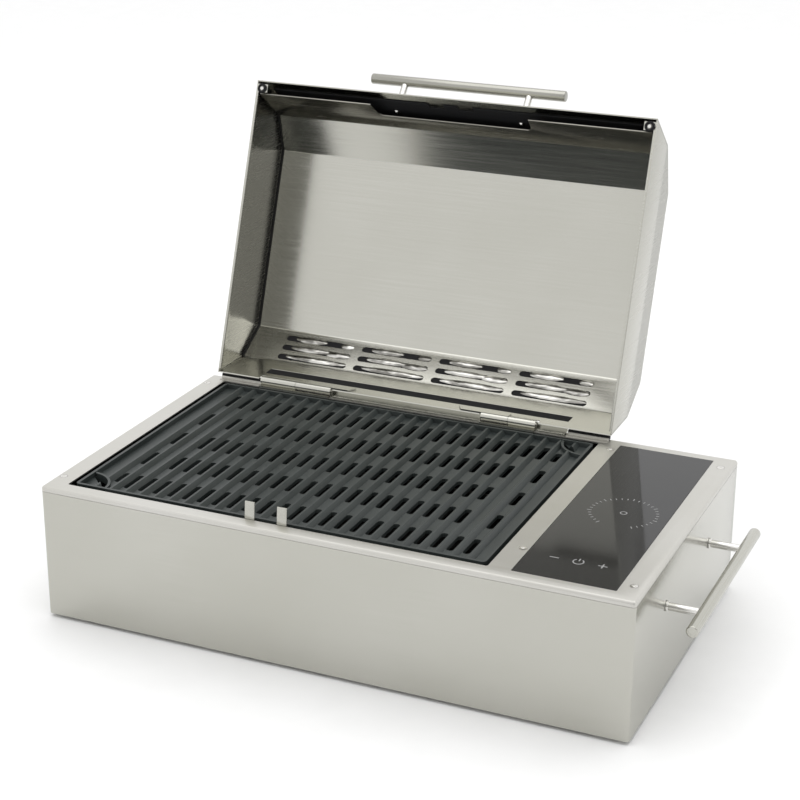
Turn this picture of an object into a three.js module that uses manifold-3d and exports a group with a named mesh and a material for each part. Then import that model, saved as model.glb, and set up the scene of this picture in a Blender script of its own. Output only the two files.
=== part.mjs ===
// Table-top electric grill with a hinged hood, in stainless sheet.
// Millimetres, +Z up, +X to the right, the front faces -Y, the feet stand on z = 0.
// The hood is drawn closed in its own group, whose origin is the hinge axis, and that group
// is then turned back to the open position, which is the rest position of the object.

import * as THREE from "three";
import { mergeVertices } from "three/addons/utils/BufferGeometryUtils.js";
import Module from "manifold-3d";

const wasm = await Module();
wasm.setup();

// ---------------------------------------------------------------- driving dimensions

const BODY = { width: 622, depth: 356, height: 142, corner: 3.5 };
const FOOT = { lift: 4, radius: 10, inset: 34 };
const SHEET = 1.2;
const DECK_SHEET = 1.5;
const GAP = 0.3;
const DECK = FOOT.lift + BODY.height;
const SKIRT = 5.5;

const HOOD = { centre: -62, width: 475, depth: 338, rimGap: 2.5, openAngle: 109.7 };
const HINGE = { y: 170.7, rise: 5.5, radius: 5, bore: 2.3 };

// Each hinge's reach from the hood's middle: the hood's strap starts at `strap`, the barrel runs
// from `near` to `far`, and the leaf on the deck ends at `leaf`.
const HINGES = {
  left: { side: -1, strap: 66, near: 93, far: 181, leaf: 181 },
  right: { side: 1, strap: 59, near: 89, far: 152, leaf: 186 },
};
const REAR_SLOT = { reach: 184, foot: 14.5, top: 29 };
const HOOD_REAR = HINGE.y - 1.2;
const WELL = { x0: -288.5, x1: 164.5, y0: -163, y1: 163 };
const GLASS = { x0: 187.5, x1: 288, y0: -162.6, y1: 164.6, thickness: 4 };

// The grate: ridges run front to back, with slots in the valleys between them.
const GRATE = { x0: -284.5, x1: 159.5, y0: -155.5, y1: 160, top: 0.8, rim: 3 };
const SLOTS = { columns: 24, rows: 5, pitchX: 16.8, pitchY: 60.5, length: 34, width: 7.4, corner: 2 };
const SLOT_CENTRE = { x: -61.5, y: 2.2 };
const RIDGE_TOP = DECK - 1.5;
const VALLEY_TOP = DECK - 6;
const GRATE_UNDERSIDE = DECK - 10;
const LEDGE = DECK - 16;
const DRAIN = { radius: 29, lip: 3.5 };

const ELEMENT = { radius: 3.25, bend: 40, z: DECK - 28, left: -230, right: 105, tail: 170 };

const T_HANDLE = { length: 234, barRadius: 6, postRadius: 4, spacing: 150, reach: 36.4 };
const SIDE_HANDLE_Z = FOOT.lift + 91;
const HOOD_HANDLE_RISE = 39;
const CATCH_CENTRE = -65;
const TAB_PLACES = [CATCH_CENTRE - 17.4, CATCH_CENTRE + 17.4];

// Where the deck screws stand, as x and y.
const DECK_SCREWS = [[-303.5, -147], [-303.5, 150], [181, 150], [181, -114], [299.5, 150], [299.5, -147]];

const INLET = { x: 250, z: 45, width: 32, height: 26 };

// ---------------------------------------------------------------- materials

const finish = (color, roughness, metalness) => () => (
  new THREE.MeshStandardMaterial({ color, roughness, metalness })
);
const brushedSteel = finish(0xbfbdb4, 0.35, 1);
const polishedSteel = finish(0xd6d6d2, 0.15, 1);
const linerSteel = finish(0x8e8e89, 0.5, 1);
const enamel = finish(0x343937, 0.55, 0.1);
const blackGlass = finish(0x0a0a0c, 0.06, 0);
const rubber = finish(0x18181a, 0.85, 0);
const circuitBoard = finish(0x1d4a33, 0.6, 0);
const blackPlastic = finish(0x16171a, 0.55, 0);
const brass = finish(0xb9975a, 0.35, 1);

// ---------------------------------------------------------------- geometry helpers

const X = new THREE.Vector3(1, 0, 0);
const Y = new THREE.Vector3(0, 1, 0);
const Z = new THREE.Vector3(0, 0, 1);
const FLAT = { depth: 1, bevelEnabled: false, curveSegments: 2 };

// A closed three.js geometry as a solid that can be joined and cut.
function solid(geometry) {
  const bare = geometry.clone();
  bare.deleteAttribute("normal");
  bare.deleteAttribute("uv");
  const merged = mergeVertices(bare, 1e-4);
  const vertProperties = new Float32Array(merged.attributes.position.array);
  const triVerts = new Uint32Array(merged.index.array);
  return new wasm.Manifold(new wasm.Mesh({ numProp: 3, vertProperties, triVerts }));
}

// A solid as a three.js geometry.
function surface(body) {
  const mesh = body.getMesh();
  const geometry = new THREE.BufferGeometry();
  geometry.setAttribute("position", new THREE.BufferAttribute(new Float32Array(mesh.vertProperties), 3));
  geometry.setIndex(new THREE.BufferAttribute(new Uint32Array(mesh.triVerts), 1));
  return geometry;
}

function joined(...geometries) {
  return surface(geometries.map(solid).reduce((whole, piece) => whole.add(piece)));
}

function cut(geometry, ...cutters) {
  return surface(cutters.reduce((whole, cutter) => whole.subtract(solid(cutter)), solid(geometry)));
}

function box(x0, x1, y0, y1, z0, z1) {
  const geometry = new THREE.BoxGeometry(x1 - x0, y1 - y0, z1 - z0);
  return geometry.translate((x0 + x1) / 2, (y0 + y1) / 2, (z0 + z1) / 2);
}

// A cylinder from one end to the other along an axis, with its middle line through `at`.
function rod(axis, at, radius, from, to, sides = 12) {
  const geometry = new THREE.CylinderGeometry(radius, radius, to - from, sides);
  geometry.translate(0, (from + to) / 2, 0);
  if (axis === "x") geometry.rotateZ(-Math.PI / 2);
  if (axis === "z") geometry.rotateX(Math.PI / 2);
  return geometry.translate(...at);
}

function turned(profile, sides) {
  const geometry = new THREE.LatheGeometry(profile.map(([r, z]) => new THREE.Vector2(r, z)), sides);
  return geometry.rotateX(Math.PI / 2);
}

function outline(points) {
  return new THREE.Shape(points.map(([u, v]) => new THREE.Vector2(u, v)));
}

// An outline in the Y-Z plane, drawn out along X.
function alongX(shape, x0, x1) {
  const geometry = new THREE.ExtrudeGeometry(shape, { ...FLAT, depth: x1 - x0 });
  return geometry.applyMatrix4(new THREE.Matrix4().makeBasis(Y, Z, X)).translate(x0, 0, 0);
}

// An outline in the X-Z plane, drawn out along Y.
function alongY(shape, y0, y1) {
  const geometry = new THREE.ExtrudeGeometry(shape, { ...FLAT, depth: y1 - y0 });
  return geometry.rotateX(Math.PI / 2).translate(0, y1, 0);
}

function alongZ(shape, z0, z1, curveSegments = 2) {
  const options = { ...FLAT, depth: z1 - z0, curveSegments };
  return new THREE.ExtrudeGeometry(shape, options).translate(0, 0, z0);
}

function roundedRectangle(x0, x1, y0, y1, radius) {
  const shape = new THREE.Shape();
  shape.absarc(x1 - radius, y0 + radius, radius, -Math.PI / 2, 0, false);
  shape.absarc(x1 - radius, y1 - radius, radius, 0, Math.PI / 2, false);
  shape.absarc(x0 + radius, y1 - radius, radius, Math.PI / 2, Math.PI, false);
  shape.absarc(x0 + radius, y0 + radius, radius, Math.PI, Math.PI * 1.5, false);
  return shape;
}

// An open line with its inner corners rounded by arcs of the given radius.
function bentLine(points, radius, steps = 3) {
  const corners = points.map(([u, v]) => new THREE.Vector2(u, v));
  const line = [corners[0]];
  for (let i = 1; i < corners.length - 1; i += 1) {
    const before = corners[i - 1].clone().sub(corners[i]).normalize();
    const after = corners[i + 1].clone().sub(corners[i]).normalize();
    const half = Math.acos(THREE.MathUtils.clamp(before.dot(after), -1, 1)) / 2;
    const start = corners[i].clone().addScaledVector(before, radius / Math.tan(half));
    const end = corners[i].clone().addScaledVector(after, radius / Math.tan(half));
    const arc = new THREE.QuadraticBezierCurve(start, corners[i], end);
    line.push(...arc.getPoints(steps));
  }
  line.push(corners.at(-1));
  return line;
}

// The same line shifted sideways, to the left of its direction of travel.
function shifted(line, distance) {
  return line.map((point, i) => {
    const back = point.clone().sub(line[Math.max(i - 1, 0)]).normalize();
    const ahead = line[Math.min(i + 1, line.length - 1)].clone().sub(point).normalize();
    const along = back.clone().add(ahead).normalize();
    const stretch = 1 / Math.max(along.dot(i === 0 ? ahead : back), 0.5);
    return new THREE.Vector2(-along.y, along.x).multiplyScalar(distance * stretch).add(point);
  });
}

// A folded sheet: the line is one face, and the sheet lies between two shifts of it.
function foldedSheet(line, from, to, x0, x1) {
  return alongX(new THREE.Shape([...shifted(line, from), ...shifted(line, to).reverse()]), x0, x1);
}

// ---------------------------------------------------------------- body

function bodyShell() {
  const halfX = BODY.width / 2;
  const halfY = BODY.depth / 2;
  const top = DECK - SKIRT - GAP;
  const walls = roundedRectangle(-halfX, halfX, -halfY, halfY, BODY.corner);
  const inside = roundedRectangle(-halfX + SHEET, halfX - SHEET, -halfY + SHEET, halfY - SHEET, 2.3);
  const flangeX = halfX - 12;
  const flangeY = halfY - 8;
  const screwHoles = DECK_SCREWS.filter(([x]) => Math.abs(x) > 290)
    .map(([x, y]) => rod("z", [x, y, 0], 2.2, top - 3, top + 2, 10));
  const handleHoles = [-1, 1].map((side) => (
    rod("x", [0, side * T_HANDLE.spacing / 2, SIDE_HANDLE_Z], 2.8, halfX - 4, halfX + 4, 10)
  ));
  const inletHole = box(
    INLET.x - 14, INLET.x + 14, halfY - 5, halfY + 5, INLET.z - 11, INLET.z + 11,
  );
  return cut(
    alongZ(walls, FOOT.lift, top),
    alongZ(inside, FOOT.lift - 1, top - SHEET),
    box(-flangeX, flangeX, -flangeY, flangeY, top - 3, top + 1),
    ...screwHoles,
    ...handleHoles,
    inletHole,
  );
}

function bottomPlate() {
  const x = BODY.width / 2 - SHEET - GAP;
  const y = BODY.depth / 2 - SHEET - GAP;
  const vents = [-80, -50, -20, 10, 40].map((at) => (
    alongZ(roundedRectangle(205, 275, at - 2.5, at + 2.5, 2.4), 0, 20)
  ));
  const footHoles = footPlaces().map(([fx, fy]) => rod("z", [fx, fy, 0], 3.4, 0, 20, 12));
  return cut(
    alongZ(roundedRectangle(-x, x, -y, y, 2), FOOT.lift, FOOT.lift + 12),
    alongZ(roundedRectangle(-x + SHEET, x - SHEET, -y + SHEET, y - SHEET, 0.8), FOOT.lift + SHEET, 40),
    ...vents,
    ...footHoles,
  );
}

function footPlaces() {
  const x = BODY.width / 2 - FOOT.inset;
  const y = BODY.depth / 2 - FOOT.inset;
  return [[-x, -y], [x, -y], [-x, y], [x, y]];
}

function foot() {
  const plateTop = FOOT.lift + SHEET;
  return turned([
    [0, 0], [FOOT.radius - 1.5, 0], [FOOT.radius, 1.2], [FOOT.radius - 0.5, FOOT.lift - GAP],
    [3, FOOT.lift - GAP], [3, plateTop + GAP], [4.4, plateTop + GAP], [3, plateTop + 3.5],
    [0, plateTop + 3.5],
  ], 20);
}

// One skin of the deck: a plate with a rounded edge all round, before it is hollowed.
function deckSkin(inset, edge, top) {
  const x = BODY.width / 2 - inset - edge;
  const y = BODY.depth / 2 - inset - edge;
  const shape = roundedRectangle(-x, x, -y, y, BODY.corner - edge);
  const skin = new THREE.ExtrudeGeometry(shape, {
    depth: 10, bevelThickness: edge, bevelSize: edge, bevelSegments: 3, curveSegments: 2,
  });
  return skin.translate(0, 0, top - edge - 10);
}

function deck() {
  const reach = BODY.width;
  return cut(
    deckSkin(0, 3, DECK),
    deckSkin(DECK_SHEET, 1.5, DECK - DECK_SHEET),
    box(-reach, reach, -reach, reach, DECK - 30, DECK - SKIRT),
    alongZ(roundedRectangle(WELL.x0, WELL.x1, WELL.y0, WELL.y1, 2), DECK - 5, DECK + 5),
    alongZ(
      roundedRectangle(GLASS.x0 - GAP, GLASS.x1 + GAP, GLASS.y0 - GAP, GLASS.y1 + GAP, 1),
      DECK - 5, DECK + 5,
    ),
    ...DECK_SCREWS.map(([x, y]) => rod("z", [x, y, 0], 4.1, DECK - 5, DECK + 5, 16)),
  );
}

function deckScrew() {
  return turned([
    [0, -8], [1.8, -8], [1.8, -1.4], [2.6, -1.4], [3.8, -0.3], [3.8, 0], [1.7, 0.1], [1.2, -0.7], [0, -0.7],
  ], 16);
}

function cookWell() {
  const flangeTop = DECK - DECK_SHEET - GAP;
  const upper = { x0: WELL.x0 - 1, x1: WELL.x1 + 1, y0: WELL.y0 - 1, y1: WELL.y1 + 1 };
  const lower = { x0: upper.x0 + 8, x1: upper.x1 - 8, y0: upper.y0 + 8, y1: upper.y1 - 8 };
  const floor = DECK - 76;
  const shell = joined(
    box(upper.x0 - 8.5, upper.x1 + 7.5, upper.y0 - 7, upper.y1 + 7, flangeTop - 1, flangeTop),
    box(upper.x0 - 1, upper.x1 + 1, upper.y0 - 1, upper.y1 + 1, LEDGE - 1, flangeTop),
    box(lower.x0 - 1, lower.x1 + 1, lower.y0 - 1, lower.y1 + 1, floor, LEDGE),
  );
  return cut(
    shell,
    box(upper.x0, upper.x1, upper.y0, upper.y1, LEDGE, DECK),
    box(lower.x0, lower.x1, lower.y0, lower.y1, floor + 1, DECK),
    ...terminalHoles(),
  );
}

// Clearance holes for the two ends of the heating element.
function terminalHoles() {
  const row = ELEMENT.bend * 3;
  return [
    ...[-row, row].map((y) => rod("x", [0, y, ELEMENT.z], ELEMENT.radius + 0.6, 150, 168, 12)),
  ];
}

function dripTray() {
  const z0 = DECK - 75 + GAP;
  const hollow = box(-263.5, 139.5, -138.5, 138.5, z0 + 3, z0 + 21);
  return cut(box(-266, 142, -141, 141, z0, z0 + 20), hollow);
}

function elementSupport(x) {
  const end = WELL.y1 + 1 - 8 - GAP;
  const top = ELEMENT.z - ELEMENT.radius - GAP;
  return joined(
    box(x - 1.5, x + 1.5, -end, end, top - 9, top),
    ...[-1, 1].map((side) => (
      box(x - 1.5, x + 14, Math.min(side * end, side * (end - 1.2)),
        Math.max(side * end, side * (end - 1.2)), top - 9, top - 1)
    )),
  );
}

function elementRun(y, x0, x1) {
  return rod("x", [0, y, ELEMENT.z], ELEMENT.radius, x0, x1, 10);
}

function elementBend(x, y, turn) {
  const path = new THREE.CurvePath();
  const arc = new THREE.EllipseCurve(0, 0, ELEMENT.bend, ELEMENT.bend, -Math.PI / 2, Math.PI / 2, turn < 0);
  const points = arc.getPoints(10).map((p) => new THREE.Vector3(x + p.x, y + p.y, ELEMENT.z));
  path.add(new THREE.CatmullRomCurve3(points));
  const section = new THREE.Shape().absarc(0, 0, ELEMENT.radius, 0, Math.PI * 2, false);
  return new THREE.ExtrudeGeometry(section, { steps: 10, curveSegments: 5, extrudePath: path });
}

// Four parallel runs in one plane, joined by three half-turns, with both ends at the right.
function heatingElement() {
  const { bend, left, right, tail } = ELEMENT;
  return joined(
    elementRun(-3 * bend, left - 0.4, tail),
    elementRun(-bend, left - 0.4, right + 0.4),
    elementRun(bend, left - 0.4, right + 0.4),
    elementRun(3 * bend, left - 0.4, tail),
    elementBend(left, -2 * bend, -1),
    elementBend(right, 0, 1),
    elementBend(left, 2 * bend, -1),
  );
}

function bulkhead() {
  const top = DECK - DECK_SHEET - GAP;
  const y = BODY.depth / 2 - 9;
  return cut(
    joined(
      box(176, 176 + SHEET, -y, y, FOOT.lift + SHEET + GAP, top),
      box(176, 186, -y, y, top - SHEET, top),
      box(176, 190, -y, y, FOOT.lift + SHEET + GAP, FOOT.lift + 2 * SHEET + GAP),
    ),
    rod("x", [0, 100, 60], 8, 170, 180, 16),
    ...DECK_SCREWS.filter(([x]) => x > 0 && x < 290)
      .map(([x, y]) => rod("z", [x, y, 0], 2.2, top - 3, top + 2, 10)),
  );
}

// ---------------------------------------------------------------- catch tabs

function catchTab(centre) {
  const line = bentLine([
    [WELL.y0 - 0.1, LEDGE + GAP], [WELL.y0 - 0.1, DECK - 8],
    [WELL.y0 + 1, DECK - 3], [WELL.y0 + 2.9, DECK + 18],
  ], 4, 2);
  return foldedSheet(line, -0.6, 0.6, centre - 5.3, centre + 5.3);
}

// ---------------------------------------------------------------- grate

function columnX(i) {
  return SLOT_CENTRE.x + (i - (SLOTS.columns - 1) / 2) * SLOTS.pitchX;
}

function rowY(j) {
  return SLOT_CENTRE.y + (j - (SLOTS.rows - 1) / 2) * SLOTS.pitchY;
}

// The ridges and valleys in section, from left to right, closed underneath.
function grateSection() {
  const points = [[GRATE.x0 + 1, GRATE_UNDERSIDE], [GRATE.x0 + 1, VALLEY_TOP]];
  const foot = (SLOTS.pitchX - SLOTS.width) / 2 - 0.2;
  for (let i = 0; i <= SLOTS.columns; i += 1) {
    const x = columnX(i) - SLOTS.pitchX / 2;
    points.push([x - foot, VALLEY_TOP], [x - 2.4, RIDGE_TOP - 1.5], [x - 1.1, RIDGE_TOP]);
    points.push([x + 1.1, RIDGE_TOP], [x + 2.4, RIDGE_TOP - 1.5], [x + foot, VALLEY_TOP]);
  }
  points.push([GRATE.x1 - 1, VALLEY_TOP], [GRATE.x1 - 1, GRATE_UNDERSIDE]);
  return outline(points);
}

function slotCutter(x, y0, y1) {
  const half = SLOTS.width / 2;
  const flat = half - SLOTS.corner;
  const shape = outline([
    [x - half, y0 + SLOTS.corner], [x - flat, y0], [x + flat, y0], [x + half, y0 + SLOTS.corner],
    [x + half, y1 - SLOTS.corner], [x + flat, y1], [x - flat, y1], [x - half, y1 - SLOTS.corner],
  ]);
  return alongZ(shape, GRATE_UNDERSIDE - 1, VALLEY_TOP + 1);
}

// Every slot, apart from the middle ones of two closed valleys. The drains shorten two slots.
function grateSlots() {
  const cutters = [];
  const last = { i: SLOTS.columns - 1, j: SLOTS.rows - 1 };
  for (let i = 0; i <= last.i; i += 1) {
    for (let j = 0; j <= last.j; j += 1) {
      const inClosedValley = (i === 1 || i === last.i - 1) && j > 0 && j < last.j;
      const byFrontDrain = i === 0 && j === 0;
      const byRearDrain = i === last.i && j === last.j;
      const y0 = rowY(j) - SLOTS.length / 2 + (byFrontDrain ? 10 : 0);
      const y1 = rowY(j) + SLOTS.length / 2 - (byRearDrain ? 10 : 0);
      if (!inClosedValley) cutters.push(slotCutter(columnX(i), y0, y1));
    }
  }
  return cutters;
}

function quarterDisc(x, y, radius, side) {
  const shape = new THREE.Shape();
  shape.moveTo(x, y);
  shape.absarc(x, y, radius, side > 0 ? Math.PI : 0, side > 0 ? Math.PI * 1.5 : Math.PI / 2, false);
  return shape;
}

function grate() {
  const { x0, x1, y0, y1, rim } = GRATE;
  const rimTop = DECK - GRATE.top;
  const frame = cut(
    alongZ(roundedRectangle(x0, x1, y0, y1, 4), LEDGE + GAP, rimTop),
    box(x0 + rim, x1 - rim, y0 + rim, y1 - rim, 0, DECK + 5),
  );
  const corners = [[x0 + rim, y0 + rim, -1], [x1 - rim, y1 - rim, 1]];
  const lips = corners.map(([x, y, side]) => (
    alongZ(quarterDisc(x + side, y + side, DRAIN.radius + DRAIN.lip, side), GRATE_UNDERSIDE, RIDGE_TOP, 4)
  ));
  const drains = corners.map(([x, y, side]) => (
    alongZ(quarterDisc(x + side * 0.3, y + side * 0.3, DRAIN.radius, side), GRATE_UNDERSIDE - 1, DECK, 4)
  ));
  const casting = joined(frame, alongY(grateSection(), y0 + 1, y1 - 1), ...lips);
  return cut(casting, ...grateSlots(), ...drains);
}

// ---------------------------------------------------------------- control bay

function glassPanel() {
  const edge = 0.4;
  const shape = roundedRectangle(GLASS.x0 + edge, GLASS.x1 - edge, GLASS.y0 + edge, GLASS.y1 - edge, 0.8);
  const pane = new THREE.ExtrudeGeometry(shape, {
    depth: GLASS.thickness - 2 * edge,
    bevelThickness: edge, bevelSize: edge, bevelSegments: 1, curveSegments: 3,
  });
  return pane.translate(0, 0, DECK + 0.3 + edge - GLASS.thickness);
}

function panelRing(outer, inner, z0, z1) {
  return cut(
    box(GLASS.x0 - outer, GLASS.x1 + outer, GLASS.y0 - outer, GLASS.y1 + outer, z0, z1),
    box(GLASS.x0 + inner, GLASS.x1 - inner, GLASS.y0 + inner, GLASS.y1 - inner, z0 - 1, z1 + 1),
  );
}

function powerBoard() {
  const stands = [[205, -120], [295, -120], [205, 80], [295, 80]];
  return joined(
    box(199, 301, -128, 88, 17, 18.6),
    ...stands.map(([x, y]) => rod("z", [x, y, 0], 3, FOOT.lift + SHEET + GAP, 17.4, 8)),
  );
}

function powerInlet() {
  const outer = BODY.depth / 2;
  const { x, z, width, height } = INLET;
  return cut(
    joined(
      alongY(roundedRectangle(x - width / 2, x + width / 2, z - height / 2, z + height / 2, 3),
        outer + GAP, outer + GAP + 2.2),
      box(x - 13.5, x + 13.5, outer - 24, outer + 1, z - 10.5, z + 10.5),
    ),
    box(x - 11.5, x + 11.5, outer - 20, outer + 5, z - 8.5, z + 8.5),
    ...inletPinPlaces().map(([px, pz]) =>
      box(px - 1.4, px + 1.4, outer - 30, outer - 15, pz - 2.4, pz + 2.4)),
  );
}

function inletPinPlaces() {
  return [[INLET.x - 7, INLET.z - 2], [INLET.x, INLET.z + 3], [INLET.x + 7, INLET.z - 2]];
}

function inletPin([x, z]) {
  const outer = BODY.depth / 2;
  return box(x - 1, x + 1, outer - 30, outer - 7, z - 2, z + 2);
}

// ---------------------------------------------------------------- T-handles

// A handle stands on the plane z = 0 of its own group, with its bar along x.
function handleBar() {
  const { length, barRadius } = T_HANDLE;
  const end = length / 2;
  const bar = turned([
    [0, -end], [barRadius - 0.7, -end], [barRadius, 0.7 - end],
    [barRadius, end - 0.7], [barRadius - 0.7, end], [0, end],
  ], 28);
  return bar.rotateY(Math.PI / 2).translate(0, 0, T_HANDLE.reach);
}

function handlePost() {
  const { postRadius, barRadius, reach } = T_HANDLE;
  const post = turned([
    [0, GAP], [postRadius + 1.4, GAP], [postRadius + 1.4, 1.6],
    [postRadius, 2.4], [postRadius, reach - 2], [0, reach - 2],
  ], 20);
  return cut(
    post,
    rod("x", [0, 0, reach], barRadius + GAP, -10, 10, 28),
    rod("z", [0, 0, 0], 2.4, -1, 14, 10),
  );
}

function handleScrew() {
  const inner = -(SHEET + GAP);
  return turned([
    [0, inner - 3], [2.6, inner - 3], [4, inner - 1.6], [4, inner], [2, inner], [2, 13], [0, 13],
  ], 16);
}

// ---------------------------------------------------------------- hinges

// The stretch between two distances from the hood's middle, on the left or right of it.
function span(side, near, far) {
  const ends = [HOOD.centre + side * near, HOOD.centre + side * far];
  return [Math.min(...ends), Math.max(...ends)];
}

function knuckle(side, near, far, at) {
  const [x0, x1] = span(side, near, far);
  return cut(
    rod("x", at, HINGE.radius, x0, x1, 20),
    rod("x", at, HINGE.bore, x0 - 1, x1 + 1, 12),
  );
}

// The leaf on the deck, with its knuckle and a skirt that hangs into the well. It runs on to the
// middle of the hood, and its upturned rear edge closes the gap under the open hood.
function hingeBase({ side, near, far, leaf }) {
  const middle = (near + far) / 2 + 0.2;
  const base = DECK + GAP;
  const top = base + DECK_SHEET;
  const plate = (from, to, ...rest) => box(...span(side, from, to), ...rest);
  return joined(
    knuckle(side, middle, far, [0, HINGE.y, DECK + HINGE.rise]),
    plate(middle, far, HINGE.y - 3.2, HINGE.y + 3.2, base + 1, DECK + 2.6),
    plate(near, far, 161.3, 165.2, base, top),
    plate(near, far, 161.3, 162.7, DECK - 8, top),
    plate(middle, leaf, 164.5, 177.9, base, top),
    plate(GAP / 2, near - 0.6, 164.5, 177.9, base, top),
    plate(GAP / 2, leaf, 176.3, 177.9, base, DECK + 5.6),
  );
}

// A black strip on the deck that closes the gap under the open hood, outside the hinge leaves.
function deckSeal({ side, leaf }) {
  return box(...span(side, leaf + 2, HOOD.width / 2 - 3.5), 172, 177.6, DECK + GAP, DECK + 5);
}

function hingePin({ side, near, far }) {
  const [x0, x1] = span(side, near - 0.8, far + 0.8);
  return rod("x", [0, HINGE.y, DECK + HINGE.rise], 2, x0, x1, 12);
}

// ---------------------------------------------------------------- hood, drawn closed about its hinge axis

// A point of the hood's section, from its depth behind the front of the rear rim and its height.
function section(depth, height) {
  return [HOOD_REAR - HINGE.y - depth, height + HOOD.rimGap - HINGE.rise];
}

const HOOD_LINE = [
  section(0, 0), section(20, 53), section(58, 85),
  section(268, 85), section(317, 55), section(HOOD.depth, 0),
];
const HOOD_SKIN = bentLine(HOOD_LINE, 5, 3);
const HOOD_LEFT = HOOD.centre - HOOD.width / 2;
const HOOD_RIGHT = HOOD.centre + HOOD.width / 2;
const RIM = section(0, 0)[1];

// The space below the rim plane, which trims the hood's pieces to one flat edge.
function belowRim(height = 0) {
  return box(-400, 400, -400, 50, RIM - 20, RIM + height);
}

// A frame on one flat face of the hood: its y runs along the face from front to rear, and its
// z stands out from the face.
function faceFrame(front, rear, distance) {
  const along = new THREE.Vector3(0, rear[0] - front[0], rear[1] - front[1]).normalize();
  const outward = X.clone().cross(along);
  const origin = new THREE.Vector3(0, front[0], front[1]).addScaledVector(along, distance);
  return new THREE.Matrix4().makeBasis(X, along, outward).setPosition(origin);
}

const VENT = { length: 88, width: 8, bulge: 4.6, pitchX: 97.5, groups: 4, rows: [13, 27.3, 41.6] };

// A long domed blister: its mouth lies in the plane z = 0 and it rises along z.
function blister(halfWidth, length, height) {
  const crown = halfWidth * 0.35;
  const half = length / 2 - halfWidth + crown;
  const shape = roundedRectangle(-half, half, -crown, crown, crown * 0.98);
  const dome = new THREE.ExtrudeGeometry(shape, {
    depth: 0.4, bevelThickness: height, bevelSize: halfWidth - crown, bevelSegments: 2, curveSegments: 1,
  });
  return cut(dome, box(-200, 200, -50, 50, -20, 0));
}

// A louvre pressed out of the rear slope: a blister whose lower side is slit open.
function louvre(matrix) {
  const { length, width, bulge } = VENT;
  const shell = cut(
    blister(width / 2 + 1, length + 2, bulge),
    blister(width / 2, length, bulge - 0.9),
    box(-length / 2 + 7, length / 2 - 7, width / 2 - 1.9, width, 0.5, 10),
  );
  return shell.translate(0, 0, -0.2).applyMatrix4(matrix);
}

function hoodShell() {
  const vents = [];
  const ventHoles = [];
  for (let group = 0; group < VENT.groups; group += 1) {
    for (const row of VENT.rows) {
      const x = HOOD.centre - 2 + (group - (VENT.groups - 1) / 2) * VENT.pitchX;
      const place = faceFrame(HOOD_LINE[2], HOOD_LINE[1], row);
      place.multiply(new THREE.Matrix4().makeTranslation(x, 0, 0));
      const mouth = roundedRectangle(
        -VENT.length / 2, VENT.length / 2, -VENT.width / 2, VENT.width / 2, VENT.width / 2 - 0.1,
      );
      vents.push(louvre(place));
      ventHoles.push(alongZ(mouth, -3, 1).applyMatrix4(place));
    }
  }
  const { reach, foot, top } = REAR_SLOT;
  const rearSlot = box(HOOD.centre - reach, HOOD.centre + reach, -20, 10, RIM + foot, RIM + top);
  const notches = Object.values(HINGES).map(({ side, near, far }) => {
    const [x0, x1] = span(side, near - 2, far + 3);
    return box(x0, x1, -10, 10, RIM - 5, RIM + 7.2);
  });
  const handleHoles = handleFeet().map((x) => (
    rod("z", [x, 0, 0], 2.8, -4, 4, 10).applyMatrix4(hoodHandlePlace())
  ));
  const sheet = foldedSheet(HOOD_SKIN, 0, SHEET, HOOD_LEFT, HOOD_RIGHT);
  const pierced = cut(sheet, belowRim(), rearSlot, ...notches, ...ventHoles, ...handleHoles);
  return joined(pierced, ...vents);
}

function hoodEnd(side) {
  const outer = side < 0 ? HOOD_LEFT : HOOD_RIGHT;
  const inward = (from, to) => {
    const ends = [outer - side * from, outer - side * to];
    return [Math.min(...ends), Math.max(...ends)];
  };
  const [p0, p1] = inward(0, SHEET);
  const [f0, f1] = inward(0.2, 2.9);
  const [t0, t1] = inward(0.2, 14);
  const [bumperX] = bumperPlaces().filter((x) => Math.sign(x - HOOD.centre) === side);
  const plate = cut(alongX(new THREE.Shape(shifted(HOOD_SKIN, SHEET + GAP)), p0, p1), belowRim());
  const y = (depth) => section(depth, 0)[0];
  return cut(
    joined(
      plate,
      box(f0, f1, y(333), y(4.5), RIM, RIM + 6),
      box(t0, t1, y(334), y(324.8), RIM, RIM + SHEET),
    ),
    rod("z", [bumperX, y(329), 0], 1.8, RIM - 2, RIM + 4, 10),
  );
}

// A bead of dark sealant in the corner between the shell and each end, above the two walls.
function hoodSeal(side) {
  const outer = side < 0 ? HOOD_LEFT : HOOD_RIGHT;
  const bead = 1.7;
  const x0 = side < 0 ? outer + SHEET + GAP : outer - SHEET - GAP - bead;
  return cut(foldedSheet(HOOD_SKIN, SHEET + GAP, SHEET + GAP + bead, x0, x0 + bead), belowRim(52));
}

// A black heat pad that lines the front wall inside, behind the lip.
function frontPad() {
  const line = bentLine([section(312.3, 57.9), section(317, 55), section(337.5, 1.3)], 4, 2);
  const pad = foldedSheet(line, SHEET + GAP, SHEET + GAP + 1, HOOD_LEFT + 16, HOOD_RIGHT - 16);
  const screwHoles = handleFeet().map((x) => (
    rod("z", [x, 0, 0], 4.6, -8, 4, 12).applyMatrix4(hoodHandlePlace())
  ));
  const tabRoom = TAB_PLACES.map((x) => box(x - 9, x + 9, -400, 0, RIM, RIM + 20));
  return cut(pad, belowRim(12.5), ...screwHoles, ...tabRoom);
}

// A black strip that closes the long slot in the rear wall.
function rearSeal() {
  const reach = REAR_SLOT.reach - GAP;
  const strip = foldedSheet(HOOD_SKIN, 0.4, SHEET - 0.2, HOOD.centre - reach, HOOD.centre + reach);
  const w = BODY.width;
  const above = box(-w, w, -w, w, RIM + REAR_SLOT.top - GAP, RIM + 200);
  const inFront = box(-w, w, -w, -HOOD.depth / 2, RIM - 10, RIM + 200);
  return cut(strip, belowRim(REAR_SLOT.foot + GAP), above, inFront);
}

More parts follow.
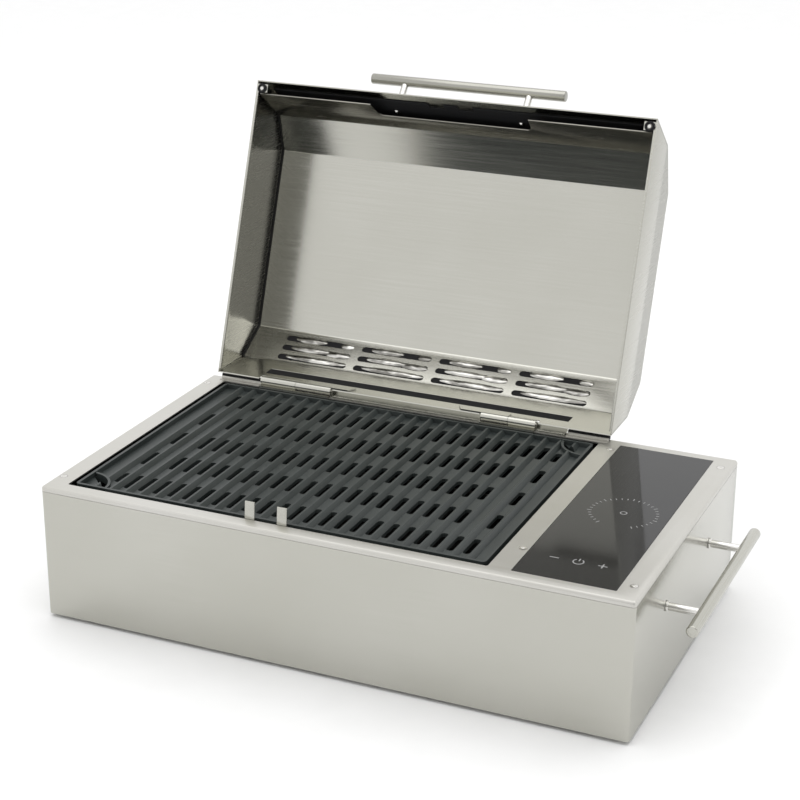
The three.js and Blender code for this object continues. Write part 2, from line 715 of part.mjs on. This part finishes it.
// The inner sheet of the front lip, notched in the middle for the catch tabs.
function lipChannel() {
  const line = bentLine([section(311, 57), section(303.9, 61.3), section(322.6, 1)], 3, 2);
  const sheet = foldedSheet(line, 0, -SHEET, HOOD_LEFT + 4.8, HOOD_RIGHT - 4.8);
  const notch = outline([
    [-94, RIM - 1], [94, RIM - 1], [92, RIM + 20], [87, RIM + 27], [-87, RIM + 27], [-92, RIM + 20],
  ]);
  return cut(sheet, alongY(notch, section(330, 0)[0], section(290, 0)[0]).translate(HOOD.centre, 0, 0));
}

function bumperPlaces() {
  return [HOOD.centre - 230, HOOD.centre + 230];
}

function bumper() {
  return turned([[2.9, -2.2], [5, -2.2], [5.6, -1.4], [5.6, -GAP], [2.9, -GAP], [2.9, -2.2]], 20);
}

function bumperScrew() {
  return turned([[0, -1.9], [2, -1.9], [2.5, -1.3], [2.5, -GAP], [1.4, -GAP], [1.4, 5], [0, 5]], 14);
}

// The part of the hinge that moves with the hood: a knuckle and a strap along the rear wall.
function hingeStrap({ side, strap: inner, near, far }) {
  const middle = (near + far) / 2 - 0.2;
  const wall = new THREE.Vector2(...HOOD_LINE[0]).distanceTo(new THREE.Vector2(...HOOD_LINE[1]));
  const corner = (near, up) => [HOOD.centre + side * near, wall - up];
  const shape = outline([
    corner(inner + 6, 0.5), corner(middle, 0.5), corner(middle, 10.4), corner(inner, 10.4),
  ]);
  const strap = alongZ(shape, -SHEET - GAP - 1.5, -SHEET - GAP);
  strap.applyMatrix4(faceFrame(HOOD_LINE[1], HOOD_LINE[0], 0));
  return joined(knuckle(side, near, middle, [0, 0, 0]), strap);
}

function handleFeet() {
  return [HOOD.centre - T_HANDLE.spacing / 2, HOOD.centre + T_HANDLE.spacing / 2];
}

// Where the hood handle stands: on the front wall, square to it.
function hoodHandlePlace() {
  return faceFrame(HOOD_LINE[5], HOOD_LINE[4], HOOD_HANDLE_RISE);
}

// ---------------------------------------------------------------- assembly

const grill = new THREE.Group();
const hood = new THREE.Group();
hood.position.set(0, HINGE.y, DECK + HINGE.rise);
hood.rotation.x = THREE.MathUtils.degToRad(-HOOD.openAngle);
grill.add(hood);

function add(parent, name, geometry, material, at = [0, 0, 0]) {
  const mesh = new THREE.Mesh(geometry, material());
  mesh.name = name;
  mesh.position.set(...at);
  parent.add(mesh);
}

function addHandle(parent, name, place, centre) {
  const handle = new THREE.Group();
  handle.applyMatrix4(place);
  parent.add(handle);
  add(handle, `${name}_bar`, handleBar(), brushedSteel, [centre, 0, 0]);
  for (const [end, side] of [["a", -1], ["b", 1]]) {
    const at = [centre + side * T_HANDLE.spacing / 2, 0, 0];
    add(handle, `${name}_post_${end}`, handlePost(), polishedSteel, at);
    add(handle, `${name}_screw_${end}`, handleScrew(), polishedSteel, at);
  }
}

add(grill, "body_shell", bodyShell(), brushedSteel);
add(grill, "bottom_plate", bottomPlate(), brushedSteel);
footPlaces().forEach(([x, y], i) => add(grill, `foot_${i + 1}`, foot(), rubber, [x, y, 0]));
add(grill, "deck", deck(), brushedSteel);
DECK_SCREWS.forEach(([x, y], i) => {
  add(grill, `deck_screw_${i + 1}`, deckScrew(), polishedSteel, [x, y, DECK]);
});
add(grill, "cook_well", cookWell(), linerSteel);
add(grill, "drip_tray", dripTray(), linerSteel);
add(grill, "heating_element", heatingElement(), linerSteel);
add(grill, "element_support_left", elementSupport(-190), linerSteel);
add(grill, "element_support_right", elementSupport(60), linerSteel);
add(grill, "bulkhead", bulkhead(), linerSteel);
add(grill, "catch_tab_left", catchTab(TAB_PLACES[0]), polishedSteel);
add(grill, "catch_tab_right", catchTab(TAB_PLACES[1]), polishedSteel);
add(grill, "grate", grate(), enamel);

add(grill, "glass_panel", glassPanel(), blackGlass);
add(grill, "panel_gasket", panelRing(0, 7.5, DECK - 4.9, DECK - 4), rubber);
add(grill, "panel_frame", panelRing(4.5, 7.5, DECK - 6.4, DECK - 5.2), linerSteel);
add(grill, "power_board", powerBoard(), circuitBoard);
add(grill, "power_inlet", powerInlet(), blackPlastic);
inletPinPlaces().forEach((at, i) => add(grill, `inlet_pin_${i + 1}`, inletPin(at), brass));

addHandle(
  grill, "side_handle",
  new THREE.Matrix4().makeBasis(Y, Z, X).setPosition(BODY.width / 2, 0, SIDE_HANDLE_Z), 0,
);

for (const [name, hinge] of Object.entries(HINGES)) {
  add(grill, `hinge_base_${name}`, hingeBase(hinge), brushedSteel);
  add(grill, `hinge_pin_${name}`, hingePin(hinge), polishedSteel);
  add(grill, `deck_seal_${name}`, deckSeal(hinge), rubber);
  add(hood, `hinge_strap_${name}`, hingeStrap(hinge), brushedSteel);
  add(hood, `hood_end_${name}`, hoodEnd(hinge.side), brushedSteel);
  add(hood, `hood_seal_${name}`, hoodSeal(hinge.side), rubber);
}
add(hood, "hood_front_pad", frontPad(), rubber);
add(hood, "hood_rear_seal", rearSeal(), rubber);
add(hood, "hood_shell", hoodShell(), brushedSteel);
add(hood, "lip_channel", lipChannel(), brushedSteel);
bumperPlaces().forEach((x, i) => {
  const at = [x, section(329, 0)[0], RIM];
  add(hood, `hood_bumper_${i + 1}`, bumper(), rubber, at);
  add(hood, `bumper_screw_${i + 1}`, bumperScrew(), polishedSteel, at);
});
addHandle(hood, "hood_handle", hoodHandlePlace(), HOOD.centre);

// The origin is the middle of the whole object's footprint, on the surface it stands on.
grill.updateMatrixWorld(true);
const extent = new THREE.Box3().setFromObject(grill, true);
grill.position.x = -(extent.min.x + extent.max.x) / 2;
grill.position.y = -(extent.min.y + extent.max.y) / 2;

export default grill;
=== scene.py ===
"""Looks for a table-top electric grill in brushed stainless sheet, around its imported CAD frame.

Lengths named in millimetres are turned into metres by MM. Positions are counted from the
middle of the body in plan and from the table top in height, as in the CAD source.
"""

import math

import bmesh
import bpy
from mathutils import Matrix, Vector


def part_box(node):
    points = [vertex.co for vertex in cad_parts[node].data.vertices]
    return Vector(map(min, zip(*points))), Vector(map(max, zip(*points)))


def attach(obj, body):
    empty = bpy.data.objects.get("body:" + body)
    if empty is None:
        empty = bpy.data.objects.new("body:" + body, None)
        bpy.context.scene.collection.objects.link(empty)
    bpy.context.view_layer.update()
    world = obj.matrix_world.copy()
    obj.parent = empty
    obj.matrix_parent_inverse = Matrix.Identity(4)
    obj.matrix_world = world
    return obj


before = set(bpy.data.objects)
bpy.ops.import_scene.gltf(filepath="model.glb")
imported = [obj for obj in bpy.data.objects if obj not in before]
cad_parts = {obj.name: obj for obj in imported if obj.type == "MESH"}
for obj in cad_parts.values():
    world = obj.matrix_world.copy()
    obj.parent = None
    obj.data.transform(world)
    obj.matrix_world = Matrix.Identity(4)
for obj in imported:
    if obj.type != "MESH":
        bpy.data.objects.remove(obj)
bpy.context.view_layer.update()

MM = 0.001

# ---------------------------------------------------------------- sizes, in millimetres

BODY_LOW, BODY_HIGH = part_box("body_shell")
CENTRE = Vector(((BODY_LOW.x + BODY_HIGH.x) / 2, (BODY_LOW.y + BODY_HIGH.y) / 2, 0))
DECK = round(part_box("deck")[1].z / MM, 3)
GLASS_TOP = round(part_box("glass_panel")[1].z / MM, 3)

# The hood in section: depth counts from its rear rim to the front, height from its rim.
HINGE_Y = 170.7
HINGE_Z = DECK + 5.5
OPEN_ANGLE = math.radians(109.7)
HOOD_CENTRE = -62
RIM_BEHIND_AXIS = -1.2
RIM_BELOW_AXIS = -3.0
SLOPE_TOP = (58, 85)
SLOPE_FOOT = (20, 53)
SHEET = 1.2
VENT = {"length": 88, "width": 8, "pitch": 97.5, "groups": 4, "rows": (13, 27.3, 41.6)}
# The pressed lenses over the slots of each row: left and right end, half width, crown, offset.
LENSES = (
    ((-32, 9, 4.7, 2.4, -0.4), (27, 44, 4.4, 1.6, 0)),
    ((-33, 20, 4.6, 2.8, -0.5), (12, 44, 4.8, 2.0, 0.6)),
    ((-34, 44, 4.3, 1.8, -1.1),),
)

# The signs on the glass: a ring of ticks about a middle, and a row of three touch signs.
DIAL = {"middle": (243, 0), "inner": 31.5, "outer": 34.6, "long": 36, "ticks": 31, "first": -60}
SIGN_ROW = -121
MINUS_X, POWER_X, PLUS_X = 214.5, 238, 261.5
SIGN_REACH = 4.5

CAMERA = {"azimuth": 23.775, "elevation": 21.068, "roll": 0.234, "distance": 1918.6, "lens": 85.83}
CAMERA_TARGET = (4.5, 0.0, 226.3)


def at(x, y, z):
    """A point given in millimetres from the middle of the body, as a vector in metres."""
    return CENTRE + Vector((x, y, z)) * MM


def on_hood(x, depth, height):
    """A point of the open hood, from its place in the closed hood's section."""
    y = RIM_BEHIND_AXIS - depth
    z = RIM_BELOW_AXIS + height
    turned_y = y * math.cos(OPEN_ANGLE) + z * math.sin(OPEN_ANGLE)
    turned_z = z * math.cos(OPEN_ANGLE) - y * math.sin(OPEN_ANGLE)
    return at(x, HINGE_Y + turned_y, HINGE_Z + turned_z)


# ---------------------------------------------------------------- material helpers


class Paint:
    """A node material under construction, with short ways to add and join nodes."""

    def __init__(self, name):
        self.material = bpy.data.materials.new(name)
        self.material.use_nodes = True
        self.tree = self.material.node_tree
        self.shader = self.tree.nodes["Principled BSDF"]
        self.place = self.tree.nodes.new("ShaderNodeTexCoord").outputs["Object"]

    def node(self, kind, inputs=None, **settings):
        node = self.tree.nodes.new(kind)
        for key, value in settings.items():
            setattr(node, key, value)
        for key, value in (inputs or {}).items():
            if isinstance(value, bpy.types.NodeSocket):
                self.tree.links.new(value, node.inputs[key])
            else:
                node.inputs[key].default_value = value
        return node

    def stretched(self, scale):
        return self.node("ShaderNodeMapping", {"Vector": self.place, "Scale": scale}).outputs[0]

    def noise(self, vector, scale=1.0, detail=4.0, roughness=0.6):
        inputs = {"Vector": vector, "Scale": scale, "Detail": detail, "Roughness": roughness}
        return self.node("ShaderNodeTexNoise", inputs).outputs["Fac"]

    def spread(self, value, low, high, start=0.3, stop=0.7):
        inputs = {"Value": value, "From Min": start, "From Max": stop, "To Min": low, "To Max": high}
        return self.node("ShaderNodeMapRange", inputs).outputs["Result"]

    def blend(self, share, first, second):
        node = self.node("ShaderNodeMix", data_type="RGBA")
        self.tree.links.new(share, node.inputs[0])
        node.inputs[6].default_value = (*first, 1)
        node.inputs[7].default_value = (*second, 1)
        return node.outputs[2]

    def bump(self, height, strength, distance):
        inputs = {"Height": height, "Strength": strength, "Distance": distance}
        return self.node("ShaderNodeBump", inputs).outputs["Normal"]

    def finish(self, color, roughness, normal=None, **constants):
        sockets = self.shader.inputs
        self.tree.links.new(color, sockets["Base Color"])
        self.tree.links.new(roughness, sockets["Roughness"])
        if normal is not None:
            self.tree.links.new(normal, sockets["Normal"])
        for key, value in constants.items():
            sockets[key.replace("_", " ")].default_value = value
        return self.material


def brushed(name, grain, light, dark, roughness, strength=0.25):
    """Stainless sheet with fine scratches that run along one axis."""
    paint = Paint(name)
    across = [9.0 if axis == grain else 620.0 for axis in "xyz"]
    streaks = paint.noise(paint.stretched(across), detail=6.0, roughness=0.7)
    clouds = paint.noise(paint.place, scale=7.0, detail=2.0, roughness=0.5)
    tint = paint.node("ShaderNodeMath", {0: streaks, 1: clouds}, operation="MULTIPLY").outputs[0]
    return paint.finish(
        paint.blend(paint.spread(tint, 0, 1, 0.12, 0.4), dark, light),
        paint.spread(streaks, roughness - 0.05, roughness + 0.07),
        paint.bump(streaks, strength, 0.00004),
        Metallic=1.0,
    )


def pressed_steel():
    """Bright drawn steel, with the slight waves that pressing leaves."""
    paint = Paint("pressed_steel")
    waves = paint.noise(paint.stretched((45.0, 110.0, 110.0)), detail=2.0, roughness=0.5)
    return paint.finish(
        paint.blend(paint.spread(waves, 0, 1, 0.4, 0.6), (0.2, 0.195, 0.18), (0.6, 0.59, 0.56)),
        paint.spread(waves, 0.12, 0.2),
        paint.bump(waves, 0.8, 0.0012),
        Metallic=1.0,
    )


def cast_enamel():
    """The grate's black coating: a fine grit, with patches that differ a little in tone."""
    paint = Paint("cast_enamel")
    grit = paint.noise(paint.place, scale=900.0, detail=3.0, roughness=0.6)
    patches = paint.noise(paint.place, scale=24.0, detail=3.0, roughness=0.55)
    return paint.finish(
        paint.blend(paint.spread(patches, 0, 1), (0.021, 0.027, 0.026), (0.038, 0.045, 0.043)),
        paint.spread(patches, 0.4, 0.54),
        paint.bump(grit, 0.3, 0.0001),
        Specular_IOR_Level=0.5,
    )


def black_glass():
    """Dark glass with faint smears in its gloss."""
    paint = Paint("black_glass")
    smears = paint.noise(paint.stretched((18.0, 30.0, 30.0)), detail=5.0, roughness=0.6)
    return paint.finish(
        paint.blend(paint.spread(smears, 0, 1), (0.0045, 0.0045, 0.005), (0.007, 0.007, 0.0075)),
        paint.spread(smears, 0.04, 0.09),
        Specular_IOR_Level=0.42,
    )


def dull(name, light, dark, roughness, scale=300.0, metallic=0.0, strength=0.2):
    """Rubber, plastic, board and plain metal: an even tone with a fine speckle."""
    paint = Paint(name)
    speckle = paint.noise(paint.place, scale=scale, detail=4.0, roughness=0.6)
    return paint.finish(
        paint.blend(paint.spread(speckle, 0, 1), dark, light),
        paint.spread(speckle, roughness - 0.05, roughness + 0.05),
        paint.bump(speckle, strength, 0.00005),
        Metallic=metallic,
        Specular_IOR_Level=0.25,
    )


STEEL_LIGHT = (0.505, 0.5, 0.458)
STEEL_DARK = (0.465, 0.46, 0.415)
# A darker copy of the steel for the hood's handle bar: painted shade.
BAR_PAINTED_SHADE_PALE = (0.39, 0.385, 0.35)
BAR_PAINTED_SHADE_DEEP = (0.32, 0.315, 0.285)
# A darker copy of the steel for the lip: painted shade, for the dark that the lip reflects.
LIP_PAINTED_SHADE_PALE = (0.31, 0.3, 0.27)
LIP_PAINTED_SHADE_DEEP = (0.24, 0.235, 0.21)

MATERIALS = {
    "steel_x": brushed("steel_x", "x", STEEL_LIGHT, STEEL_DARK, 0.19),
    "steel_y": brushed("steel_y", "y", STEEL_LIGHT, STEEL_DARK, 0.24, 0.05),
    "deck_steel": brushed("deck_steel", "x", (0.6, 0.59, 0.56), (0.55, 0.54, 0.5), 0.36),
    "hood_bar_painted_shade": brushed("hood_bar_painted_shade", "x", BAR_PAINTED_SHADE_PALE, BAR_PAINTED_SHADE_DEEP, 0.2),
    "lip_painted_shade": brushed("lip_painted_shade", "x", LIP_PAINTED_SHADE_PALE, LIP_PAINTED_SHADE_DEEP, 0.22),
    "pressed": pressed_steel(),
    # Near-black steel for the well and the parts inside the body: painted shade, for the dark inside
    # the body.
    "interior_painted_shade": brushed("interior_painted_shade", "x", (0.016, 0.015, 0.014), (0.008, 0.008, 0.007), 0.5),
    "polished": brushed("polished", "x", (0.72, 0.71, 0.68), (0.66, 0.65, 0.62), 0.14, 0.08),
    "sheath": dull("sheath", (0.05, 0.045, 0.04), (0.03, 0.028, 0.026), 0.5, 160.0, 1.0),
    "cast": cast_enamel(),
    "glass": black_glass(),
    "print": dull("print", (0.34, 0.34, 0.34), (0.28, 0.28, 0.28), 0.5, 900.0, strength=0.05),
    "rubber": dull("rubber", (0.012, 0.012, 0.013), (0.007, 0.007, 0.008), 0.75, 700.0),
    "sealant": dull("sealant", (0.012, 0.012, 0.012), (0.006, 0.006, 0.006), 0.6, 400.0),
    "board": dull("board", (0.02, 0.09, 0.05), (0.012, 0.06, 0.035), 0.5, 500.0),
    "plastic": dull("plastic", (0.014, 0.014, 0.016), (0.009, 0.009, 0.01), 0.5, 900.0),
    "brass": dull("brass", (0.62, 0.42, 0.16), (0.52, 0.34, 0.12), 0.3, 400.0, 1.0),
}

# ---------------------------------------------------------------- carried-over CAD nodes


def smooth_group():
    """Geometry nodes that shade smooth, and keep the edges sharper than 30 degrees."""
    group = bpy.data.node_groups.new("smooth_by_angle", "GeometryNodeTree")
    group.interface.new_socket("Geometry", in_out="INPUT", socket_type="NodeSocketGeometry")
    group.interface.new_socket("Geometry", in_out="OUTPUT", socket_type="NodeSocketGeometry")
    nodes, links = group.nodes, group.links
    start = nodes.new("NodeGroupInput")
    end = nodes.new("NodeGroupOutput")
    drop = nodes.new("GeometryNodeRemoveAttribute")
    drop.inputs["Name"].default_value = "custom_normal"
    faces = nodes.new("GeometryNodeSetShadeSmooth")
    faces.domain = "FACE"
    faces.inputs["Shade Smooth"].default_value = True
    edges = nodes.new("GeometryNodeSetShadeSmooth")
    edges.domain = "EDGE"
    angle = nodes.new("GeometryNodeInputMeshEdgeAngle")
    gentle = nodes.new("FunctionNodeCompare")
    gentle.data_type = "FLOAT"
    gentle.operation = "LESS_THAN"
    gentle.inputs["B"].default_value = math.radians(30)
    links.new(start.outputs[0], drop.inputs["Geometry"])
    links.new(drop.outputs["Geometry"], faces.inputs["Geometry"])
    links.new(faces.outputs["Geometry"], edges.inputs["Geometry"])
    links.new(angle.outputs["Unsigned Angle"], gentle.inputs["A"])
    links.new(gentle.outputs["Result"], edges.inputs["Shade Smooth"])
    links.new(edges.outputs["Geometry"], end.inputs[0])
    return group


SMOOTH = smooth_group()


def smooth(piece):
    piece.modifiers.new("smooth", "NODES").node_group = SMOOTH


def dress(node, material, bevel=0.0):
    """Gives a CAD node its material, and its edges a small round."""
    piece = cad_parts[node]
    piece.data.materials.clear()
    piece.data.materials.append(MATERIALS[material])
    weld = piece.modifiers.new("weld", "WELD")
    weld.merge_threshold = 0.000002
    if bevel:
        flats = piece.modifiers.new("flats", "DECIMATE")
        flats.decimate_type = "DISSOLVE"
        flats.angle_limit = math.radians(0.5)
        edge = piece.modifiers.new("edge", "BEVEL")
        edge.width = bevel * MM
        edge.segments = 2
        edge.limit_method = "ANGLE"
        edge.angle_limit = math.radians(40)
    smooth(piece)


LOOKS = {
    "steel_x": (
        "body_shell", "hood_shell", "bottom_plate", "catch_tab_left", "catch_tab_right",
        "hinge_base_left", "hinge_base_right", "hinge_strap_left", "hinge_strap_right",
    ),
    "deck_steel": ("deck",),
    "hood_bar_painted_shade": ("hood_handle_bar",),
    "lip_painted_shade": ("lip_channel",),
    "steel_y": ("hood_end_left", "hood_end_right", "side_handle_bar"),
    "interior_painted_shade": (
        "cook_well", "drip_tray", "element_support_left", "element_support_right",
        "bulkhead", "panel_frame",
    ),
    "polished": (
        *(f"deck_screw_{i}" for i in range(1, 7)),
        *(f"{side}_handle_{part}_{end}" for side in ("hood", "side")
          for part in ("post", "screw") for end in "ab"),
        "hinge_pin_left", "hinge_pin_right", "bumper_screw_1", "bumper_screw_2",
    ),
    "sheath": ("heating_element",),
    "cast": ("grate",),
    "glass": ("glass_panel",),
    # hood_front_pad, hood_rear_seal and the two deck seals are black sheets that stand in for the
    # shade in the hood's front channel and in the gap behind the deck: painted shadow.
    "rubber": (
        *(f"foot_{i}" for i in range(1, 5)),
        "panel_gasket", "hood_bumper_1", "hood_bumper_2", "hood_front_pad", "hood_rear_seal",
        "deck_seal_left", "deck_seal_right",
    ),
    "sealant": ("hood_seal_left", "hood_seal_right"),
    "board": ("power_board",),
    "plastic": ("power_inlet",),
    "brass": ("inlet_pin_1", "inlet_pin_2", "inlet_pin_3"),
}

# The rounds on edges that catch the light, in millimetres.
ROUNDS = {
    "hood_handle_bar": 0.8, "side_handle_bar": 0.8, "catch_tab_left": 0.3, "catch_tab_right": 0.3,
    "hood_end_left": 0.4, "hood_end_right": 0.4, "lip_channel": 0.4, "hood_bumper_1": 0.8,
    "hood_bumper_2": 0.8, "foot_1": 1.0, "foot_2": 1.0, "foot_3": 1.0, "foot_4": 1.0,
}

for look, nodes in LOOKS.items():
    for name in nodes:
        dress(name, look, ROUNDS.get(name, 0))

# ---------------------------------------------------------------- added pieces


def add_piece(name, mesh, material, body):
    """A new piece on a body, from a finished bmesh."""
    data = bpy.data.meshes.new(name)
    mesh.to_mesh(data)
    mesh.free()
    data.materials.append(MATERIALS[material])
    piece = bpy.data.objects.new(name, data)
    bpy.context.scene.collection.objects.link(piece)
    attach(piece, body)
    return piece


def prism(mesh, outline, place):
    """A closed solid between two copies of an outline. The place takes a point and a level."""
    lower = [mesh.verts.new(place(x, y, 0)) for x, y in outline]
    upper = [mesh.verts.new(place(x, y, 1)) for x, y in outline]
    mesh.faces.new(reversed(lower))
    mesh.faces.new(upper)
    for i in range(len(outline)):
        k = (i + 1) % len(outline)
        mesh.faces.new((lower[i], lower[k], upper[k], upper[i]))


def stroke(start, stop, width):
    """A straight stroke as an outline of four corners."""
    ax, ay = start
    bx, by = stop
    length = math.hypot(bx - ax, by - ay)
    sx, sy = (by - ay) / length * width / 2, -(bx - ax) / length * width / 2
    return [(ax + sx, ay + sy), (bx + sx, by + sy), (bx - sx, by - sy), (ax - sx, ay - sy)]


def arc(centre, radius, width, start, stop, steps=24):
    """A curved stroke as an outline, with its angles in degrees."""
    angles = [math.radians(start + (stop - start) * i / steps) for i in range(steps + 1)]
    outline = []
    for r, order in ((radius + width / 2, angles), (radius - width / 2, angles[::-1])):
        outline += [(centre[0] + r * math.cos(a), centre[1] + r * math.sin(a)) for a in order]
    return outline


def dial_strokes():
    """Ticks every ten degrees, each fifth one longer, about a small ring."""
    x, y = DIAL["middle"]
    strokes = []
    for i in range(DIAL["ticks"]):
        angle = math.radians(DIAL["first"] + 10 * i)
        reach = DIAL["long"] if i % 5 == 0 else DIAL["outer"]
        ends = [(x + r * math.cos(angle), y + r * math.sin(angle)) for r in (DIAL["inner"], reach)]
        strokes.append(stroke(*ends, 0.9))
    strokes.append(arc(DIAL["middle"], 3.2, 1.0, 0, 180, 12))
    strokes.append(arc(DIAL["middle"], 3.2, 1.0, 180, 360, 12))
    return strokes


def sign_strokes():
    """Minus, power and plus. The upright of the plus stops short of its bar."""
    row, reach = SIGN_ROW, SIGN_REACH
    return [
        stroke((MINUS_X - reach, row), (MINUS_X + reach, row), 1.3),
        stroke((PLUS_X - reach, row), (PLUS_X + reach, row), 1.3),
        stroke((PLUS_X, row - reach), (PLUS_X, row - 0.7), 1.3),
        stroke((PLUS_X, row + 0.7), (PLUS_X, row + reach), 1.3),
        arc((POWER_X, row), 5, 1.2, 125, 415),
        stroke((POWER_X, row + 1.5), (POWER_X, row + 6.5), 1.2),
    ]


def panel_marks():
    """The generic signs, as thin prints that lie on the glass."""
    mesh = bmesh.new()
    for outline in dial_strokes() + sign_strokes():
        prism(mesh, outline, lambda x, y, level: at(x, y, GLASS_TOP + 0.02 + 0.05 * level))
    bmesh.ops.recalc_face_normals(mesh, faces=mesh.faces)
    add_piece("panel_marks", mesh, "print", "base")


def slope_place(x, row, rise):
    """A point on the rear slope: along it in x, down it by row, and off its inner face by rise."""
    run = (SLOPE_FOOT[0] - SLOPE_TOP[0], SLOPE_FOOT[1] - SLOPE_TOP[1])
    length = math.hypot(*run)
    along = (run[0] / length, run[1] / length)
    inward = (-along[1], along[0])
    depth = SLOPE_TOP[0] + along[0] * row + inward[0] * (SHEET + rise)
    height = SLOPE_TOP[1] + along[1] * row + inward[1] * (SHEET + rise)
    return on_hood(x, depth, height)


def vent_centres():
    """The middle of each slot: its x, its place down the slope, and the number of its row."""
    for group in range(VENT["groups"]):
        x = HOOD_CENTRE - 2 + (group - (VENT["groups"] - 1) / 2) * VENT["pitch"]
        for index, row in enumerate(VENT["rows"]):
            yield x, row, index


def vent_painted_shadows():
    """A black sheet in each slot of the rear slope: painted shadow, for the shade inside the slot."""
    mesh = bmesh.new()
    half = VENT["width"] / 2 - 0.25
    reach = VENT["length"] / 2 - 0.25 - half
    for x, row, _ in vent_centres():
        ends = []
        for side in (1, -1):
            for i in range(9):
                angle = math.radians(-90 + 22.5 * i)
                end_x = x + side * (reach + half * math.cos(angle))
                ends.append((end_x, row + side * half * math.sin(angle)))
        prism(mesh, ends, lambda px, py, level: slope_place(px, py, -0.5 - 0.4 * level))
    bmesh.ops.recalc_face_normals(mesh, faces=mesh.faces)
    add_piece("vent_painted_shadows", mesh, "rubber", "hood")


def lens(mesh, x, row, shape):
    """A closed convex lens, pointed at both ends, on the inner face of the rear slope."""
    left, right, half_width, crown, offset = shape
    middle, half_length = x + (left + right) / 2, (right - left) / 2
    stations, ribs = 24, 8
    rings = []
    for i in range(stations + 1):
        u = -0.998 * math.cos(math.pi * i / stations)
        taper = (1 - u * u) ** 0.45
        along = middle + half_length * u
        ring = []
        for k in range(ribs + 1):
            v = math.cos(math.pi * k / ribs)
            rise = crown * taper * max(0, 1 - v * v) ** 0.5
            ring.append(slope_place(along, row + offset + half_width * taper * v, rise))
        for v in (-1, 1):
            ring.append(slope_place(along, row + offset + half_width * taper * v, -0.3))
        rings.append([mesh.verts.new(point) for point in ring])
    for a, b in zip(rings, rings[1:]):
        for k in range(len(a)):
            m = (k + 1) % len(a)
            mesh.faces.new((a[k], a[m], b[m], b[k]))
    mesh.faces.new(reversed(rings[0]))
    mesh.faces.new(rings[-1])


def vent_scoops():
    """Pressed lenses over the slots, which leave each slot's left end open."""
    mesh = bmesh.new()
    for x, row, index in vent_centres():
        for shape in LENSES[index]:
            lens(mesh, x, row, shape)
    bmesh.ops.recalc_face_normals(mesh, faces=mesh.faces)
    smooth(add_piece("vent_scoops", mesh, "pressed", "hood"))


def seal_flashings():
    """A folded steel strip in front of each deck seal, which leaves the seal's top edge bare."""
    mesh = bmesh.new()
    fold = [
        (166, 0.05), (171.9, 0.05), (171.9, 2.8), (171.6, 3.0),
        (171.3, 2.8), (171.1, 0.9), (170.8, 0.65), (166, 0.65),
    ]
    for side in ("left", "right"):
        low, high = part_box(f"deck_seal_{side}")
        ends = (low.x - CENTRE.x, high.x - CENTRE.x)
        prism(mesh, fold, lambda y, z, level: at(ends[level] / MM, y, DECK + z))
    bmesh.ops.recalc_face_normals(mesh, faces=mesh.faces)
    smooth(add_piece("seal_flashings", mesh, "deck_steel", "base"))


panel_marks()
vent_painted_shadows()
vent_scoops()
seal_flashings()

# ---------------------------------------------------------------- studio


def studio():
    """A pale floor, a soft room and one large light overhead."""
    scene = bpy.context.scene
    scene.view_settings.view_transform = "Standard"
    scene.world = soft_room()

    mesh = bpy.data.meshes.new("floor")
    size = 20.0
    corners = [(-size, -size, 0), (size, -size, 0), (size, size, 0), (-size, size, 0)]
    mesh.from_pydata(corners, [], [(0, 1, 2, 3)])
    floor = bpy.data.objects.new("floor", mesh)
    scene.collection.objects.link(floor)
    mesh.materials.append(dull("floor", (0.9, 0.9, 0.9), (0.88, 0.88, 0.88), 0.6, 20.0, strength=0.0))

    lamp("ceiling", (0, 100, 2600), 2600, 22)


def soft_room():
    """An even white room that is dimmer low down in front on the right."""
    world = bpy.data.worlds.new("studio")
    world.use_nodes = True
    nodes, links = world.node_tree.nodes, world.node_tree.links
    place = nodes.new("ShaderNodeTexCoord")
    toward = nodes.new("ShaderNodeVectorMath")
    toward.operation = "DOT_PRODUCT"
    toward.inputs[1].default_value = Vector((0.5, -0.84, 0.2)).normalized()
    dim = nodes.new("ShaderNodeMapRange")
    dim.interpolation_type = "SMOOTHSTEP"
    dim.inputs["From Min"].default_value = 0.72
    dim.inputs["From Max"].default_value = 0.97
    dim.inputs["To Min"].default_value = 1.12
    dim.inputs["To Max"].default_value = 0.5
    links.new(place.outputs["Generated"], toward.inputs[0])
    links.new(toward.outputs["Value"], dim.inputs["Value"])
    links.new(dim.outputs["Result"], nodes["Background"].inputs["Strength"])
    nodes["Background"].inputs["Color"].default_value = (1.0, 1.0, 1.0, 1)
    return world


def lamp(name, place, size, power):
    """A square soft light at a place, aimed at the middle of the object."""
    light = bpy.data.lights.new(name, "AREA")
    light.size = size * MM
    light.energy = power
    holder = bpy.data.objects.new(name, light)
    holder.location = at(*place)
    aim = at(0, 50, 150) - holder.location
    holder.rotation_euler = aim.to_track_quat("-Z", "Y").to_euler()
    bpy.context.scene.collection.objects.link(holder)


def camera():
    """The camera stands in front, to the right and above, and looks down at the body."""
    data = bpy.data.cameras.new("camera")
    data.lens = CAMERA["lens"]
    data.sensor_width = 36
    view = bpy.data.objects.new("camera", data)
    azimuth = math.radians(CAMERA["azimuth"])
    elevation = math.radians(CAMERA["elevation"])
    back = Vector((
        math.sin(azimuth) * math.cos(elevation),
        -math.cos(azimuth) * math.cos(elevation),
        math.sin(elevation),
    ))
    view.location = at(*CAMERA_TARGET) + back * CAMERA["distance"] * MM
    turn = (-back).to_track_quat("-Z", "Y").to_matrix()
    roll = Matrix.Rotation(math.radians(CAMERA["roll"]), 3, "Z")
    view.rotation_euler = (turn @ roll).to_euler()
    bpy.context.scene.collection.objects.link(view)
    bpy.context.scene.camera = view


studio()
camera()
